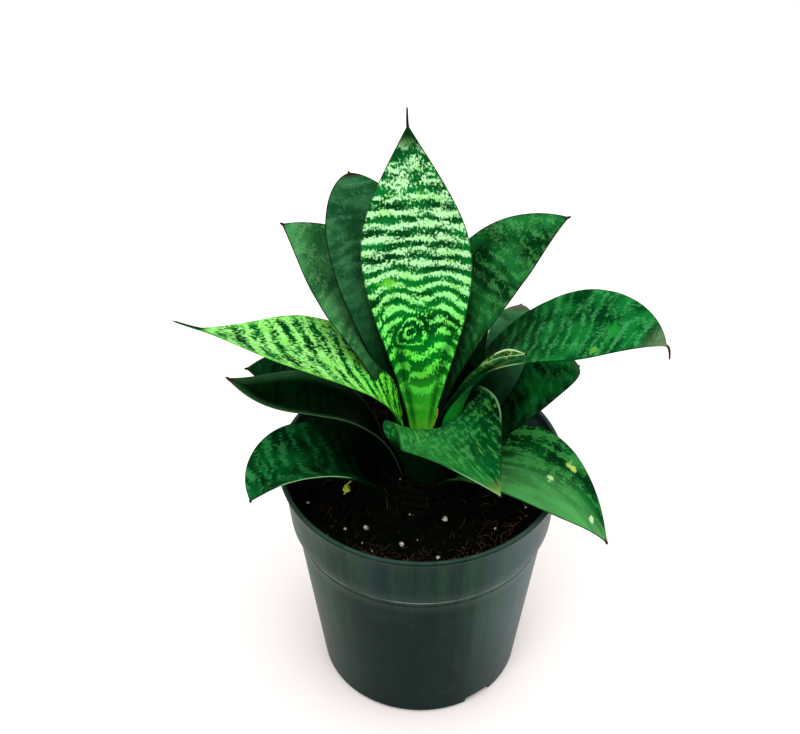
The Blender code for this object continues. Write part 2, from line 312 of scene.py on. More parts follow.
def makeLeafTree(make):
    wire, given = newTree("clasping leaf", leafNames + ("taper", "seed"))
    grid = wire.node("GeometryNodeMeshGrid", {}, {
        "Size X": 1.0, "Size Y": 1.0, "Vertices X": make["columns"] + 1,
        "Vertices Y": make["rows"]}, "Mesh")
    gridX, gridY, _ = wire.node("GeometryNodeInputPosition").parts()
    turn = (gridX + 0.5) * math.tau
    run = (gridY + 0.5) * (1 + make["threadRows"])
    v = run.least(1.0)  # share of the blade's length
    w = ((run - 1.0) / make["threadRows"]).most(0.0)  # share of the dry thread's length
    u = 1 - v
    s = turn.cos()  # -1 to 1 across the blade
    face = turn.sin()

    # midrib, a cubic curve from the ring to the tip
    ring = given["ring"] * stem["ringStep"] + stem["innerRing"]
    radial = heading(wire, given["azimuth"], given["azimuth"] * 0)
    start = radial * ring + wire.at(0.0, 0.0, stem["top"] - given["ring"] * stem["ringDrop"])
    tip = radial * given["reach"] + wire.at(0.0, 0.0, given["height"])
    leave = heading(wire, given["azimuth"] + given["swingStart"], given["rise"])
    arrive = heading(wire, given["azimuth"] + given["swingEnd"], given["top"])
    first = start + leave * given["risePull"]
    second = tip - arrive * given["topPull"]
    point = (start * (u * u * u) + first * (u * u * v * 3) + second * (u * v * v * 3)
             + tip * (v * v * v))
    slope = ((first - start) * (u * u) + (second - first) * (u * v * 2)
             + (tip - second) * (v * v)).unit()

    # the thread bends on from the tip
    swing = v.toward(given["swingStart"], given["swingEnd"])
    droop = heading(wire, given["azimuth"] + swing, given["threadSlope"])
    bend = slope * (given["threadLength"] * 0.25)
    point = point + bend * (w * (1 - w) * 2) + (bend + droop * (given["threadLength"] * 0.75)) \
        * (w * w)
    forward = (slope * ((1 - w) * 0.25) + droop * (w * 0.75)).unit()

    # directions of the cross-section
    flat = heading(wire, given["azimuth"] + swing - 90.0, given["azimuth"] * 0)
    side = (flat - forward * flat.dot(forward)).unit()
    normal = side.cross(forward)
    roll = v.toward(given["rollStart"], given["rollEnd"]) * math.radians(1)
    across = side * roll.cos() + normal * roll.sin()
    up = normal * roll.cos() - side * roll.sin()

    # half width: swells from the clasping base, then tapers to the tip
    full = given["width"] / 2.0
    base = ring * given["wrap"] * math.radians(1) / full
    swell = ((v / given["widest"]).least(1.0) * (math.pi / 2)).sin() ** 1.3
    taper = ((v - given["widest"]).most(0.0) / (1 - given["widest"]) * (math.pi / 2)).cos()
    wide = full * (base + (1 - base) * swell) * (taper.most(0.0001) ** given["taper"])
    halfWidth = wide.most(make["threadWidth"] / 2) * w.toward(1.0, make["threadEnd"])
    fold = (u * u).toward(given["curl"], given["wrap"]) * math.radians(1)
    middle = (point + across * (halfWidth * (fold * s).sin() / fold)
              + up * (halfWidth * (1 - (fold * s).cos()) / fold))
    outward = up * (fold * s).cos() - across * (fold * s).sin()

    # thickness, with rounded margins and closed ends
    thick = w.toward(v.toward(make["thickness"], make["tipThickness"]), make["threadEnd"])
    rounded = (abs(face) ** 0.45) * face.sign()
    crown = 1 - s * s * (1 - make["marginShare"])
    ends = run.above(0.0005) * (1.0 - w.above(0.9995))
    offset = thick / 2.0 * crown * rounded * ends

    # ripples and long channels
    distance = (v * ((tip - start).length() + given["risePull"] * 0.15))
    width = s * halfWidth
    ripple = wire.noise(wire.at(distance * 0.055, s * 0.9, given["seed"]), 1.0, 1.0) - 0.5
    flute = (width * 1.7 + wire.noise(wire.at(width * 0.3, distance * 0.02, given["seed"])) * 4.0)
    shift = (ripple * (s * s) * (2 * make["wave"]) * (v * u * 4).least(1.0)
             + flute.sin() * make["flute"] * u * u * ends)
    stand = middle + outward * (offset + shift * (1 - w))

    marked = wire.node("GeometryNodeStoreNamedAttribute",
                       {"data_type": "FLOAT_VECTOR", "domain": "POINT"},
                       {"Geometry": grid, "Name": "blade",
                        "Value": wire.at(width, distance, halfWidth * (1 - abs(s)))})
    marked = wire.node("GeometryNodeStoreNamedAttribute",
                       {"data_type": "FLOAT_VECTOR", "domain": "POINT"},
                       {"Geometry": marked, "Name": "growth", "Value": wire.at(v, w, face)})
    moved = wire.node("GeometryNodeSetPosition", {}, {"Geometry": marked, "Position": stand * mm})
    closed = wire.node("GeometryNodeMergeByDistance", {}, {"Geometry": moved, "Distance": 2e-6})
    smoothed = wire.node("GeometryNodeSetShadeSmooth", {}, {"Geometry": closed})
    endTree(wire, smoothed, given["Finish"])
    return wire.tree


# colours and pattern of one blade; a leaf below states only what differs
leafLook = {
    "deep": (4, 38, 17),  # darkest ground
    "ground": (14, 78, 38),
    "groundLow": (4, 54, 23),
    "band": (44, 118, 66),  # crossbands, and lower down
    "bandLow": (12, 86, 38),
    "contrast": 0.5,
    "spacing": 4.6,  # millimetres from band to band
    "stripe": 0.2,  # how far the bands show against the mottling
    "jag": 2.6,  # how far the bands' edges run up and down the blade
    "sway": 6.0,  # how far whole bands wander
    "skew": 0.0,  # how far bands run up the blade for each millimetre across
    "patch": 2.5,  # how much the bands break up
    "grain": 2.0,  # fine mottling
    "level": 0.12,  # more is fewer bands
    "tongue": 0.0,  # bands rise to the sides of the channel, in millimetres
    "fresh": (4, 62, 22),  # young base; near black painted shade on the leaves whose bases stand in shade, as is root
    "freshAndShadeEnd": 0.16,
    "root": (8, 66, 24),
    "lime": 0.0,  # yellow-green flushes
    "lit": 0.0,  # how far the positive half of the blade is lighter, as painted light
    "litColour": (104, 176, 108),
    "margin": (12, 20, 12),
    "marginWidth": 0.45,
    "flank": 0.0,  # painted sheen: pale streaks along both margins
    "sheenFlankWidth": 5.0,
    "tip": (30, 34, 20),
    "tipStart": 0.985,
    "tipBlend": 0.015,
    "gloss": 0.42,
    "specular": 0.15,
    "ior": 1.12,
    "sheen": (0.36, 1.0, 0.56, 1.0),  # tint of the gloss
    # outer face by the base, darkened as painted shade
    "under": (0, 28, 12),
    "underFar": (3, 54, 24),  # the outer face away from the base
    "underBands": 0.5,  # how far the bands show on the outer face
    "patchAcross": 0.13,  # patches to the millimetre, across and along the blade
    "patchAlong": 0.26,
    "flushColour": (120, 204, 44),
    "paintedSheenColour": (96, 124, 92),
    "eyes": (),  # dark spots ringed by fine bands: along share, across, size
    "eyeSpacing": 3.1,
    "scars": (),  # (along share, millimetres across, size in millimetres, colour)
    "edgeHighlightColour": (150, 190, 140),
    "edgeHighlights": (),  # painted highlights along a margin: (from and to along share, side)
    "shadedCreases": (),  # share across at the bottom and top of a fold darkened with painted shade
}
paleScar = (196, 232, 168)
threadColour = (34, 30, 22)
bladeLength = 110.0  # a middling blade, for the size of its marks
dull = {"specular": 0.08, "ior": 1.07}
# painted shade: near black bases for the leaves whose bases stand in shade
shadedBase = {"fresh": (2, 32, 13), "freshAndShadeEnd": 0.5, "root": (2, 26, 10)}

leafLooks = {
    "tall_leaf": {
        "deep": (4, 62, 24), "ground": (14, 108, 46), "groundLow": (6, 128, 38),
        "band": (170, 222, 166), "bandLow": (120, 255, 96), "contrast": 0.95, "spacing": 6.6,
        "stripe": 0.42, "level": 0.04, "patch": 2.6, "grain": 2.7, "tongue": 5.5,
        "fresh": (96, 250, 78), "freshAndShadeEnd": 0.24, "root": (164, 255, 76), "lime": 0.4,
        "margin": (30, 66, 34), "tip": (12, 50, 22), "tipStart": 0.96, "tipBlend": 0.05,
        "specular": 0.2,
        "under": (4, 70, 30), "underFar": (4, 84, 36), "shadedCreases": ((-0.6, -0.62), (0.7, 0.8)),
        "eyes": ((0.33, -2.6, 8.0),),
        "scars": ((0.51, -11.6, 5.5, (96, 184, 50)),)},
    "bright_left_leaf": {
        "deep": (0, 58, 24), "ground": (2, 104, 42), "groundLow": (0, 124, 42),
        "band": (154, 230, 128), "bandLow": (132, 255, 78), "contrast": 0.97, "spacing": 6.4,
        "stripe": 0.3, "level": -0.1, "patch": 2.6, "grain": 2.8, "skew": 0.5,
        "fresh": (80, 246, 62), "freshAndShadeEnd": 0.22, "root": (100, 250, 60), "lime": 0.4,
        "flank": 0.45, "paintedSheenColour": (150, 250, 100), "sheenFlankWidth": 4.0,
        "margin": (60, 116, 50), "tip": (14, 44, 24), "tipStart": 0.975, "specular": 0.2,
        "under": (10, 92, 34), "underFar": (12, 110, 44)},
    "back_left_leaf": {
        "deep": (26, 74, 44), "ground": (54, 106, 68), "groundLow": (2, 34, 14), "level": 0.1,
        "bandLow": (8, 46, 22), "band": (74, 130, 90), "tip": (48, 32, 28), "tipStart": 0.975,
        **shadedBase},
    "back_right_leaf": {
        "deep": (6, 54, 23), "ground": (32, 108, 54), "groundLow": (2, 44, 17),
        "band": (84, 160, 90), "bandLow": (16, 78, 36), "contrast": 0.55, "lime": 0.5,
        "flushColour": (84, 96, 54), "fresh": (2, 40, 16), "freshAndShadeEnd": 0.42, "root": (2, 36, 14),
        "tip": (60, 46, 40), "margin": (40, 30, 26)},
    "far_left_leaf": {"deep": (40, 98, 54), "ground": (74, 136, 84), "band": (112, 168, 112),
                      "groundLow": (6, 42, 19), "bandLow": (14, 58, 29), "margin": (16, 26, 18),
                      **shadedBase},
    "arching_right_leaf": {
        "deep": (4, 62, 28), "ground": (22, 112, 52), "band": (74, 160, 94),
        "bandLow": (34, 132, 64), "groundLow": (2, 46, 19), "contrast": 0.62,
        "tip": (98, 118, 90), "tipStart": 0.98, "tipBlend": 0.08, "margin": (14, 44, 22),
        "edgeHighlights": ((0.42, 0.56, 1.0),),
        "specular": 0.1, "ior": 1.08, "fresh": (2, 40, 16), "freshAndShadeEnd": 0.46, "sway": 3.0,
        "scars": ((0.455, 17.0, 9.0, (116, 158, 66)), (0.80, 3.0, 9.0, (34, 140, 54)),
                  (0.78, 14.0, 3.6, (96, 160, 64)))},
    "low_right_leaf": {"ground": (8, 104, 42), "band": (44, 140, 70), "level": 0.05,
                       "tip": (60, 90, 60), "tipStart": 0.95},
    "short_right_leaf": {
        "deep": (60, 130, 84), "ground": (98, 172, 116), "band": (132, 186, 134),
        "groundLow": (2, 34, 14), "bandLow": (4, 44, 19), "fresh": (2, 30, 12),
        "freshAndShadeEnd": 0.62, "root": (2, 26, 10), "contrast": 0.35, "tip": (128, 122, 110),
        "tipStart": 0.93, "tipBlend": 0.06, "edgeHighlights": ((0.3, 0.9, -1.0),)},
    "front_leaf": {
        "deep": (2, 46, 20), "ground": (8, 92, 42), "groundLow": (14, 100, 42),
        "band": (72, 152, 82), "bandLow": (66, 160, 74), "contrast": 0.7, "spacing": 3.0,
        "patchAcross": 0.6, "patchAlong": 0.2, "patch": 2.9, "lit": 0.4, "litColour": (76, 172, 84),
        "fresh": (30, 128, 36), "freshAndShadeEnd": 0.34, "root": (60, 140, 50), "under": (0, 9, 4),
        "underFar": (18, 84, 42), "underBands": 0.7, "margin": (30, 58, 34), "marginWidth": 0.5,
        "edgeHighlights": ((0.45, 0.8, -1.0), (0.86, 1.1, 1.0)), "flushColour": (120, 176, 70),
        "lime": 0.3, "tip": (120, 150, 84), "tipStart": 0.99, "tipBlend": 0.05},
    "front_right_leaf": {
        "deep": (2, 54, 24), "ground": (10, 98, 44), "band": (72, 156, 80), "lit": 0.66,
        "litColour": (104, 182, 108), "bandLow": (84, 176, 92), "contrast": 0.7,
        "level": 0.03, "margin": (26, 52, 30), "stripe": 0.1,
        "patchAcross": 0.24, "patchAlong": 0.05, "patch": 3.2,
        "tip": (74, 60, 36), "tipStart": 0.975,
        "scars": ((0.59, 0.0, 3.6, paleScar), (0.655, -13.6, 4.0, (200, 226, 130)),
                  (0.68, -12.2, 3.0, (190, 214, 110)), (0.86, 2.6, 2.4, paleScar))},
    "dark_left_leaf": {
        # its pale margin colour is painted sheen, like the pale streaks beside the margins
        "deep": (1, 22, 7), "ground": (3, 42, 14), "groundLow": (1, 26, 9), "band": (12, 52, 24),
        "bandLow": (3, 32, 12), "margin": (84, 100, 74), "marginWidth": 0.6, "flank": 0.9,
        "sheenFlankWidth": 6.0, "paintedSheenColour": (70, 112, 76), **dull,
        "fresh": (1, 26, 9), "root": (1, 26, 9), "under": (0, 14, 6),
        "underFar": (2, 30, 13), "tip": (58, 50, 30), "tipStart": 0.97},
    "under_left_leaf": {"ground": (10, 56, 30), "band": (44, 88, 58), "under": (0, 10, 4),
                        "freshAndShadeEnd": 0.5, "fresh": (0, 18, 7), "root": (0, 18, 7), **dull},
    "front_left_leaf": {
        "deep": (3, 50, 22), "ground": (14, 94, 46), "band": (60, 142, 84),
        "bandLow": (36, 128, 64), "contrast": 0.6, "margin": (16, 40, 24),
        "edgeHighlights": ((0.3, 0.72, -1.0),), "fresh": (2, 30, 11), "freshAndShadeEnd": 0.42,
        "root": (1, 24, 9), "specular": 0.1, "ior": 1.08},
    "innerSheath": {"fresh": (0, 30, 12), "root": (0, 24, 10), **dull},
    "foldedFlap": {
        "deep": (10, 60, 24), "ground": (60, 120, 50), "band": (160, 196, 104),
        "bandLow": (40, 96, 44), "edgeHighlights": ((0.62, 1.2, 1.0), (0.66, 1.2, -1.0)),
        "edgeHighlightColour": (214, 236, 184), "under": (26, 120, 42), "underFar": (20, 76, 34),
        "tip": (176, 200, 140), "fresh": (46, 160, 50), "root": (70, 190, 50),
        "freshAndShadeEnd": 0.5, **dull},
}


def leafMaterial(name, look, seed):
    material, wire, shader = newMaterial(name, Specular_IOR_Level=look["specular"],
                                         Specular_Tint=look["sheen"], IOR=look["ior"])
    tone = {key: paint(*value) for key, value in look.items()
            if isinstance(value, tuple) and len(value) == 3 and isinstance(value[0], int)}
    blade = wire.attribute("blade")
    growth = wire.attribute("growth")
    across, along, inset = blade.parts()
    v, thread, face = growth.parts()

    # crossbands with ragged edges
    fine = wire.noise(wire.at(across * 1.7, along * 0.15, seed), 1.0, 2.0) - 0.5
    wander = wire.noise(wire.at(across * 0.09, along * 0.06, seed + 3.0), 1.0, 2.0) - 0.5
    side = (abs(across) / 9.0).least(2.0)
    channel = v.smooth(0.06, 0.2) * (1 - v.smooth(0.42, 0.62))
    rise = (side * (math.pi / 2)).sin() ** 2.0 * channel * look["tongue"]
    phase = along + fine * look["jag"] + wander * look["sway"] - rise - across * look["skew"]
    stripes = (phase * (math.tau / look["spacing"])).sin()
    drift = along - across * look["skew"]
    patches = wire.noise(wire.at(across * look["patchAcross"], drift * look["patchAlong"],
                                 seed + 7.0), 1.0, 3.0) - 0.5
    grain = wire.noise(wire.at(across * 1.1, along * 0.7, seed + 11.0), 1.0, 4.0) - 0.5
    banded = 1 - v.smooth(0.68, 0.92) * 0.75
    shaded = v * 0
    for share, offset, size in look["eyes"]:
        away = wire.at((v - share) * bladeLength, (across - offset) * 0.8, 0.0).length()
        away = away + fine * 3.0 + wander * 9.0 + grain * 2.0
        inside = 1 - away.smooth(size * 0.5, size)
        stripes = inside.toward(stripes, (away * (math.tau / look["eyeSpacing"])).sin() * 2.0)
        shaded = shaded + inside * 0.55
    field = (stripes * banded * look["stripe"] - shaded + patches * look["patch"]
             + grain * look["grain"] + fine * 0.6)
    bands = field.smooth(look["level"] - 0.24, look["level"] + 0.38) * look["contrast"]

    cloud = wire.noise(wire.at(across * 0.07, along * 0.09, seed + 17.0), 1.0, 3.0)
    ground = cloud.smooth(0.36, 0.66).tint(tone["deep"], tone["ground"])
    # lower down the blade; on the back and dark leaves these lower colours are near black, painted
    # shade
    lower = 1 - v.smooth(0.22, 0.62)
    ground = (lower * 0.9).tint(ground, cloud.smooth(0.3, 0.6).tint(tone["deep"],
                                                                   tone["groundLow"]))
    bandColour = lower.tint(tone["band"], tone["bandLow"])
    flush = wire.noise(wire.at(across * 0.12, along * 0.12, seed + 31.0), 1.0, 2.0)
    bandColour = (flush.smooth(0.52, 0.66) * look["lime"]).tint(bandColour, tone["flushColour"])
    share = across / (abs(across) + inset)
    # painted light: the positive half of the blade is lighter
    paintedLitSide = share.smooth(-0.6, 0.5) * (0.75 + patches * 1.6).least(1.0) * look["lit"]
    ground = paintedLitSide.tint(ground, tone["litColour"])
    colour = bands.tint(ground, bandColour)
    colour = (paintedLitSide * 0.3).tint(colour, tone["litColour"])

    # base, dry tip, margin and thread; the base of the leaves that stand in shade is near black
    # painted shade
    fresh = (1 - v.smooth(0.04, look["freshAndShadeEnd"])) * (1 - bands * 0.55)
    colour = fresh.tint(colour, tone["fresh"])
    youngestAndShade = 1 - v.smooth(0.02, look["freshAndShadeEnd"] * 0.42)
    colour = youngestAndShade.tint(colour, tone["root"])
    ragged = fine * 0.7 + grain * 0.5
    edge = 1 - (inset + ragged * 0.4).smooth(look["marginWidth"] * 0.5, look["marginWidth"] * 1.3)
    colour = (edge * 0.85).tint(colour, tone["margin"])
    # painted highlights along parts of the margins
    for first, last, side in look["edgeHighlights"]:
        window = v.smooth(first, first + 0.06) * (1 - v.smooth(last - 0.06, last))
        pale = window * (share * side).smooth(0.7, 0.9) * (1 - (inset + ragged).smooth(0.4, 1.0))
        colour = (pale * 0.7).tint(colour, tone["edgeHighlightColour"])
    # painted shade in the folds of the channel
    creaseShade = v * 0
    for low, high in look["shadedCreases"]:
        line = share - v.toward(low, high)
        creaseShade = creaseShade + (1 - abs(line + wander * 0.3).smooth(0.0, 0.26)) \
            * v.smooth(0.03, 0.1) * (1 - v.smooth(0.26, 0.42))
    colour = (creaseShade * 0.7).tint(colour, tone["deep"])
    # painted sheen along both margins
    paintedSheen = (1 - inset.smooth(1.0, look["sheenFlankWidth"])) * (0.6 + wander) * look["flank"]
    colour = (paintedSheen * v.smooth(0.2, 0.5)).tint(colour, tone["paintedSheenColour"])
    dried = (v + ragged * 0.02).smooth(look["tipStart"] - look["tipBlend"], look["tipStart"] + 0.02)
    colour = dried.tint(colour, tone["tip"])
    for share, offset, size, shade in look["scars"]:
        away = wire.at((v - share) * bladeLength, across - offset, 0.0).length()
        scar = 1 - (away + (ragged + patches * 2.6) * size).smooth(size * 0.2, size * 0.6)
        colour = (scar * 0.85).tint(colour, paint(*shade))
    colour = thread.smooth(0.0, 0.25).tint(colour, paint(*threadColour))
    # outer face: darker by the base, as painted shade
    below = (1 - face.smooth(-0.3, 0.1)) \
        * (1 - bands * v.smooth(0.22, 0.4) * look["underBands"]) * 0.96
    outer = v.smooth(0.24, 0.4).tint(tone["under"], tone["underFar"])
    colour = below.tint(colour, outer)

    dust = wire.noise(wire.at(across * 0.5, along * 0.35, seed + 23.0), 1.0, 4.0, 0.65)
    shine = dust.toward(look["gloss"] - 0.08, look["gloss"] + 0.16) + edge * 0.1
    relief = fine * 0.5 + grain * 0.35 + stripes * 0.12 + dust * 0.3 - creaseShade * 2.0
    plug(shader, Base_Color=colour, Roughness=shine, Normal=bump(wire, relief, 0.16, 0.8))
    return material


leafTree = makeLeafTree(leafMake)


def makeLeaf(title, number, node, shape):
    look = {**leafLook, **leafLooks.get(node, {})}
    values = dict(zip(leafNames, map(float, shape)))
    values["taper"] = bluntTips.get(node, leafMake["taper"])
    values["seed"] = number * 4.7 + 1.3
    values["Finish"] = leafMaterial(title + "Skin", look, number * 13.0 + 2.0)
    leaf = grow(title, leafTree, values)
    solid = bmesh.new()
    solid.from_mesh(leaf.data)
    bmesh.ops.remove_doubles(solid, verts=solid.verts, dist=1e-7)
    finishMesh(solid, leaf.data)
    print("leaf", title, len(leaf.data.polygons))
    return leaf


for number, (node, shape) in enumerate(leaves.items()):
    words = node.split("_")
    title = words[0] + "".join(word.title() for word in words[1:])
    slot = "bright_leaf" if node in ("tall_leaf", "bright_left_leaf") else "dark_leaf"
    place(makeLeaf(title, number, node, shape), slot, node)

for number, (title, shape) in enumerate(smallBlades.items(), len(leaves)):
    place(makeLeaf(title, number, title, shape), "dark_leaf")


# pot

potMake = {
    "steps": 192,
    "height": 106.0,
    "rimRadius": 55.0,
    "baseRadius": 39.6,
    "wall": 1.0,
    "floor": 1.4,
    "heel": 2.5,  # radius of the rounded heel
    "bandFoot": 78.4,  # height where the flared band starts
    "bandRadius": 50.0,
    "ledge": 0.9,  # how far the band stands out there
    "drains": 3,
    "drainWidth": 12.5,
    "drainHeight": 4.0,
    "drainDepth": 5.5,
    "drainCorner": 1.5,
    "firstDrain": -53.5,  # degrees
}


def arc(centre, radius, start, end, steps):
    turns = [math.radians(start + (end - start) * step / steps) for step in range(steps + 1)]
    return [(centre[0] + radius * math.cos(a), centre[1] + radius * math.sin(a)) for a in turns]


def turned(name, profile, steps, wobble=None):
    # a closed body turned round Z; the profile starts and ends on the axis
    shape = bmesh.new()
    rings = []
    for radius, height in profile[1:-1]:
        ring = []
        for step in range(steps):
            angle = math.tau * step / steps
            spot = Vector((radius * math.cos(angle), radius * math.sin(angle), height))
            ring.append(shape.verts.new((wobble(spot) if wobble else spot) * mm))
        rings.append(ring)
    ends = [shape.verts.new(Vector((0, 0, profile[end][1])) * mm) for end in (0, -1)]
    bridge(shape, rings)
    for end, ring in zip(ends, (rings[0], rings[-1])):
        for step in range(steps):
            shape.faces.new((end, ring[step], ring[(step + 1) % steps]))
    mesh = finishMesh(shape, bpy.data.meshes.new(name))
    mesh.shade_smooth()
    return mesh


def potProfile(make):
    rim = make["rimRadius"]
    foot = make["bandFoot"]
    neck = make["bandRadius"] - make["ledge"]
    top = make["height"]
    base = make["baseRadius"]
    wall = make["wall"]
    heel = make["heel"]
    slope = (neck - base) / (foot - heel)
    # underside with its dimple and recess, heel, then up the tapered wall
    outside = [(0.0, 0.7), (1.6, 0.7), (2.2, 0.5), (29.5, 0.5), (30.3, 0.0)]
    outside += arc((base - heel, heel), heel, -90, 0, 8)
    outside += [(base + slope * (z - heel), z) for z in (12, 24, 36, 48, 60, 70, foot - 3.4)]
    # a fine groove under the ledge, the ledge, then the flared band
    groove = neck - 0.2
    outside += [(groove, foot - 3.0), (groove - 0.1, foot - 2.75), (groove - 0.1, foot - 2.5),
                (groove + 0.04, foot - 2.2), (neck, foot - 1.4), (neck + 0.12, foot - 0.9),
                (neck + 0.36, foot - 0.3)]
    outside += arc((neck + 0.4, foot + 0.42), 0.5, -70, 5, 5)
    outside += [(rim - 1.6 - 2.6 * (1 - z), foot + 25.5 * z) for z in (0.1, 0.3, 0.5, 0.7, 0.9)]
    outside += [(rim - 1.25, top - 2.5), (rim - 0.95, top - 2.05), (rim - 0.4, top - 1.85)]
    lip = arc((rim - 1.0, top - 1.0), 1.0, -38, 180, 14)
    inside = [(rim - 2.1, top - 1.9), (rim - 2.5, top - 3.2),
              (make["bandRadius"] - wall, foot + 0.2), (neck - wall, foot - wall),
              (base - wall + 0.1, 3.5), (base - wall - 1.2, make["floor"])]
    return outside + lip + inside + [(0.0, make["floor"])]


def drainCutter(make, number):
    side = make["drainWidth"] / 2
    top = make["drainHeight"]
    outline = [(-side, -1.0), (side, -1.0)]
    corner = make["drainCorner"]
    outline += arc((side - corner, top - corner), corner, 0, 90, 5)
    outline += arc((corner - side, top - corner), corner, 90, 180, 5)
    azimuth = math.radians(make["firstDrain"] + 360 * number / make["drains"])
    out = Vector((math.cos(azimuth), math.sin(azimuth), 0))
    across = Vector((-math.sin(azimuth), math.cos(azimuth), 0))
    shape = bmesh.new()
    rows = []
    for depth in (make["baseRadius"] - make["drainDepth"], make["baseRadius"] + 3):
        rows.append([shape.verts.new((out * depth + across * x + Vector((0, 0, z))) * mm)
                     for x, z in outline])
    shape.faces.new(rows[0])
    shape.faces.new(rows[1])
    bridge(shape, rows)
    return newObject("drainCutter", finishMesh(shape, bpy.data.meshes.new("drain cutter")))


def makePot(make):
    pot = newObject("nurseryPot", turned("nurseryPot", potProfile(make), make["steps"]))
    cutters = [drainCutter(make, number) for number in range(make["drains"])]
    for cutter in cutters:
        cut = pot.modifiers.new("drain", "BOOLEAN")
        cut.operation = "DIFFERENCE"
        cut.solver = "EXACT"
        cut.object = cutter
    graph = bpy.context.evaluated_depsgraph_get()
    mesh = bpy.data.meshes.new_from_object(pot.evaluated_get(graph))
    pot.modifiers.clear()
    pot.data = mesh
    for cutter in cutters:
        bpy.data.objects.remove(cutter, do_unlink=True)
    mesh.shade_smooth()
    mesh.set_sharp_from_angle(angle=math.radians(38))
    return pot


def potMaterial():
    material, wire, shader = newMaterial("potPlastic", Specular_IOR_Level=0.14, IOR=1.4,
                                         Specular_Tint=(0.5, 0.86, 0.76, 1.0))
    spot = wire.spot()
    x, y, z = (spot / mm).parts()
    radius = (x * x + y * y) ** 0.5
    rightward = x / radius
    outward = wire.at(rightward, y / radius, 0.0)
    streak = wire.noise(outward + wire.at(0.0, 0.0, z * 0.0016), 8.0, 3.0, 0.55)
    broad = wire.noise(outward + wire.at(1.3, 0.0, z * 0.002), 2.4, 2.0) + rightward * 0.22
    cloud = wire.noise(spot, 60.0, 4.0, 0.6)
    dust = wire.noise(spot, 900.0, 3.0, 0.7)
    colour = streak.smooth(0.3, 0.7).tint(paint(12, 38, 34), paint(38, 70, 50))
    colour = (broad.smooth(0.44, 0.7) * 0.8).tint(colour, paint(42, 54, 72))
    # painted shade: the front of the pot is darker
    front = 1 - (y / radius + rightward * 0.15).smooth(-1.0, -0.72)
    front = front * (1 - z.smooth(66.0, 84.0) * 0.6)
    colour = (front * 0.9).tint(colour, paint(1, 24, 20))
    # painted light: the right side is lighter
    colour = (rightward.smooth(0.3, 0.95) * 0.5).tint(colour, paint(84, 112, 106))
    colour = ((1 - z.smooth(2.0, 64.0)) * 0.65).tint(colour, paint(6, 30, 30))
    colour = (z.smooth(100.0, 104.0) * 0.6).tint(colour, paint(10, 30, 26))
    colour = ((cloud - 0.5).smooth(0.02, 0.3) * 0.1).tint(colour, paint(84, 100, 84))

    # pale edges: painted highlight along the band foot and the lip, and rubbed wear at the base
    ledge = 1 - abs(z - potMake["bandFoot"] - 0.3).smooth(0.2, 0.75)
    ledge = ledge * radius.above(potMake["bandRadius"] - 0.8)
    lip = z.smooth(potMake["height"] - 0.7, potMake["height"])
    lip = lip * radius.above(potMake["rimRadius"] - 1.8)
    foot = 1 - z.smooth(0.6, 2.4)
    wearAndHighlight = (ledge * cloud.smooth(0.3, 0.6) * 0.65 + lip * 0.12 + foot * 0.15) * (0.5 + streak)
    colour = wearAndHighlight.least(1.0).tint(colour, paint(132, 164, 144))
    specks = (dust * 0.85 + cloud * 0.15).smooth(0.64, 0.72) * 0.35
    colour = specks.tint(colour, paint(120, 128, 112))
    shine = streak.toward(0.22, 0.42) + cloud * 0.1 + specks * 0.3
    relief = streak * 0.5 + cloud * 0.35 + dust * 0.06
    plug(shader, Base_Color=colour, Roughness=shine, Normal=bump(wire, relief, 0.35, 0.5))
    return material


pot = makePot(potMake)
pot.data.materials.clear()
pot.data.materials.append(potMaterial())
place(pot, "pot_plastic", "pot")
print("pot", len(pot.data.polygons))


# potting mix

soilMake = {
    "steps": 150,
    "radius": 51.2,  # of the top
    "ringStep": 0.75,
    "gap": 0.3,  # to the pot's wall, where the drains show it
    "edge": 95.5,  # height at the wall
    "crown": 1.6,  # how much higher the middle is
    "lump": 1.5,  # height of the soft lumps
    "seed": 4,
}


def soilHeight(radius):
    return soilMake["edge"] + soilMake["crown"] * (1 - (radius / potMake["rimRadius"]) ** 2)


def soilWobble(spot):
    # lumps on the top only, fading out at the wall
    radius = Vector((spot.x, spot.y)).length
    if spot.z < 90:
        return spot
    lump = noise.fractal(Vector((spot.x, spot.y, 3.1)) * 0.09, 1.0, 2.1, 4) * soilMake["lump"]
    fine = noise.fractal(Vector((spot.x, spot.y, 8.4)) * 0.45, 0.9, 2.2, 3) * 0.45
    return spot + Vector((0, 0, (lump + fine) * min(1.0, (52.6 - radius) / 2.5)))


def soilProfile(make):
    # up inside the pot's wall, then in over the top
    gap = make["gap"]
    floor = potMake["floor"] + gap
    points = [(0.0, floor), (36.8, floor), (38.4 - gap, 4.0), (48.0 - gap, 77.4),
              (49.0 - gap, 79.2), (51.9 - gap, 94.6)]
    radius = make["radius"]
    while radius > 1.0:
        points.append((radius, soilHeight(radius)))
        radius -= make["ringStep"]
    return points + [(0.0, soilHeight(0))]


def soilMaterial():
    material, wire, shader = newMaterial("pottingMix", Specular_IOR_Level=0.06)
    spot = wire.spot()
    tone = wire.attribute("tone", "Fac")
    coarse = wire.noise(spot, 260.0, 5.0, 0.65)
    fine = wire.noise(spot, 1500.0, 4.0, 0.7)
    colour = coarse.smooth(0.35, 0.65).tint(paint(0, 8, 1), paint(10, 18, 7))
    colour = ((tone - 0.55).smooth(0.0, 0.45) * 0.6).tint(colour, paint(34, 22, 14))
    colour = (fine.smooth(0.55, 0.75) * 0.5).tint(colour, paint(24, 20, 14))
    plug(shader, Base_Color=colour, Roughness=fine.toward(0.78, 1.0),
         Normal=bump(wire, coarse + fine * 0.5, 0.6, 0.9))
    return material


